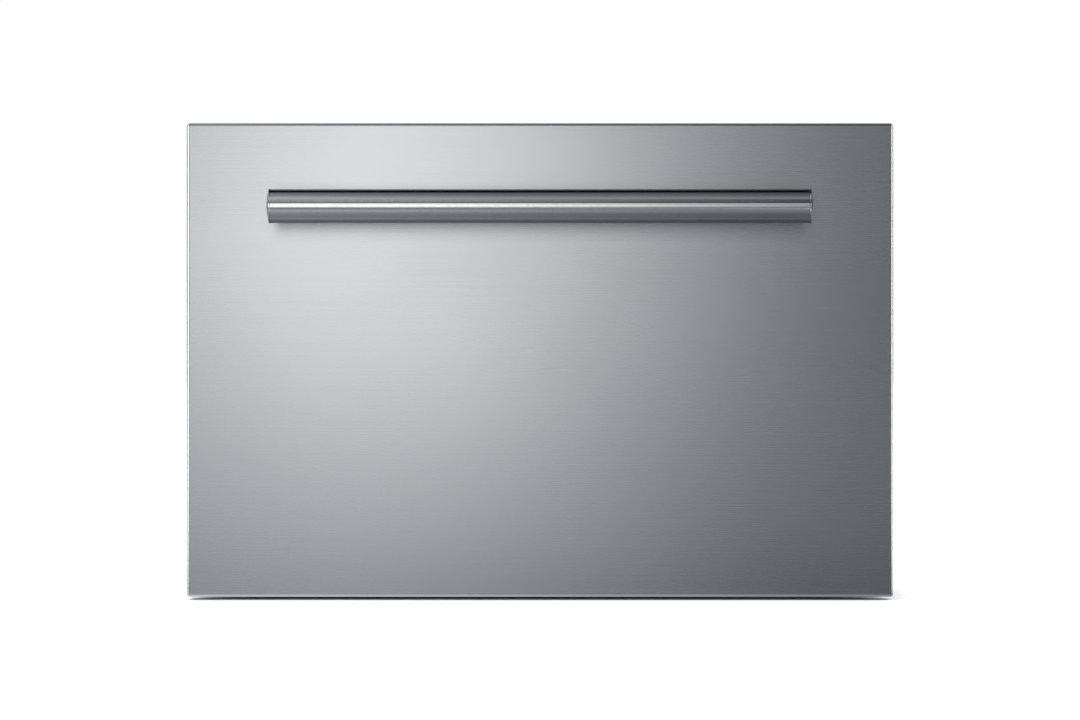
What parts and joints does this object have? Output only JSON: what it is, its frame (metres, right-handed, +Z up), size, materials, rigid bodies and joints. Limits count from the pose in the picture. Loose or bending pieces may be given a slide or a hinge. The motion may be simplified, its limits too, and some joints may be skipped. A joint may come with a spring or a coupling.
{
  "type": "wine cooler drawer",
  "caption": "Built-in wine cooler of one deep drawer, with a brushed steel front, a tubular bar handle, beech bottle cradles on telescopic slides and a fan-cooled thermoelectric unit behind.",
  "frame": {"origin": "under the middle of the whole object, on the plane its feet stand on", "axes": "+X to the right seen from the front, +Y to the back, +Z up; the drawer opens along -Y"},
  "size_m": [0.597, 0.6769, 0.403],
  "materials": {
    "brushed_front": "satin",
    "handle_steel": "satin",
    "fastener_steel": "satin",
    "galvanised_steel": "satin",
    "slide_steel": "satin",
    "drawer_steel": "satin",
    "rail_chrome": "gloss",
    "case_paint": "satin",
    "white_foam": "matte",
    "grey_liner": "matte",
    "seal_rubber": "matte",
    "magnet": "matte",
    "foot_rubber": "matte",
    "beech": "satin",
    "sink_aluminium": "satin",
    "tile_ceramic": "matte",
    "black_plastic": "matte",
    "window_plastic": "gloss",
    "key_plastic": "satin",
    "lens_plastic": "satin"
  },
  "bodies": {
    "cabinet": {"cabinet_case": "case_paint", "base_pan": "galvanised_steel", "cabinet_feet": "foot_rubber", "front_frame": "case_paint", "cabinet_liner": "grey_liner", "cabinet_foam": "white_foam", "bulkhead": "galvanised_steel", "rear_panel": "galvanised_steel", "worktop_brackets": "galvanised_steel", "duct_cover": "grey_liner", "cold_sink": "sink_aluminium", "hot_sink": "sink_aluminium", "cold_fan_frame": "black_plastic", "hot_fan_frame": "black_plastic", "transfer_block": "sink_aluminium", "peltier_tile": "tile_ceramic", "power_supply": "galvanised_steel", "power_inlet": "black_plastic", "control_bezel": "black_plastic", "display_window": "window_plastic", "lamp_lens": "lens_plastic", "slide_outer_left": "slide_steel", "slide_outer_right": "slide_steel"},
    "drawer": {"front_skin": "brushed_front", "door_foam": "white_foam", "door_cover": "grey_liner", "door_seal": "seal_rubber", "seal_magnets": "magnet", "handle_bar": "handle_steel", "handle_end_caps": "handle_steel", "handle_posts": "handle_steel", "handle_screws": "fastener_steel", "handle_backing_plates": "galvanised_steel", "front_brackets": "drawer_steel", "drawer_side_left": "drawer_steel", "drawer_side_right": "drawer_steel", "drawer_floor": "drawer_steel", "drawer_rear_panel": "drawer_steel", "gallery_rails": "rail_chrome", "lower_neck_cradle": "beech", "lower_body_cradle": "beech", "slide_inner_left": "slide_steel", "slide_inner_right": "slide_steel"},
    "slide_middles": {"slide_middle_left": "slide_steel", "slide_middle_right": "slide_steel"},
    "outer_cages": {"ball_cages_outer": "slide_steel"},
    "inner_cages": {"ball_cages_inner": "slide_steel"},
    "upper_rack": {"upper_rack_rails": "beech", "upper_neck_cradle": "beech", "upper_body_cradle": "beech", "upper_rack_slat": "beech"},
    "cold_fan": {"cold_fan_rotor": "black_plastic"},
    "hot_fan": {"hot_fan_rotor": "black_plastic"},
    "power_key": {"button_power": "key_plastic"},
    "up_key": {"button_up": "key_plastic"},
    "down_key": {"button_down": "key_plastic"}
  },
  "joints": [
    {"name": "drawer_travel", "type": "slide", "parent": "cabinet", "child": "drawer", "axis": [0, -1, 0], "range_m": [0, 0.35]},
    {"name": "middle_travel", "type": "slide", "parent": "cabinet", "child": "slide_middles", "axis": [0, -1, 0], "range_m": [0, 0.175]},
    {"name": "outer_cage_travel", "type": "slide", "parent": "cabinet", "child": "outer_cages", "axis": [0, -1, 0], "range_m": [0, 0.0875]},
    {"name": "inner_cage_travel", "type": "slide", "parent": "cabinet", "child": "inner_cages", "axis": [0, -1, 0], "range_m": [0, 0.2625]},
    {"name": "rack_lift", "type": "slide", "parent": "drawer", "child": "upper_rack", "axis": [0, 0, 1], "range_m": [0, 0.06]},
    {"name": "cold_fan_spin", "type": "hinge", "parent": "cabinet", "child": "cold_fan", "pos_m": [0, 0.1512, 0.2], "axis": [0, 1, 0], "continuous": true},
    {"name": "hot_fan_spin", "type": "hinge", "parent": "cabinet", "child": "hot_fan", "pos_m": [0, 0.3178, 0.2], "axis": [0, 1, 0], "continuous": true},
    {"name": "power_press", "type": "slide", "parent": "cabinet", "child": "power_key", "axis": [0, 1, 0], "range_m": [0, 0.0008], "stiffness_N_per_m": 1500, "springref_m": -0.0004},
    {"name": "up_press", "type": "slide", "parent": "cabinet", "child": "up_key", "axis": [0, 1, 0], "range_m": [0, 0.0008], "stiffness_N_per_m": 1500, "springref_m": -0.0004},
    {"name": "down_press", "type": "slide", "parent": "cabinet", "child": "down_key", "axis": [0, 1, 0], "range_m": [0, 0.0008], "stiffness_N_per_m": 1500, "springref_m": -0.0004}
  ],
  "couplings": [
    {"joint": "middle_travel", "follows": "drawer_travel", "ratio": 0.5},
    {"joint": "outer_cage_travel", "follows": "drawer_travel", "ratio": 0.25},
    {"joint": "inner_cage_travel", "follows": "drawer_travel", "ratio": 0.75}
  ]
}
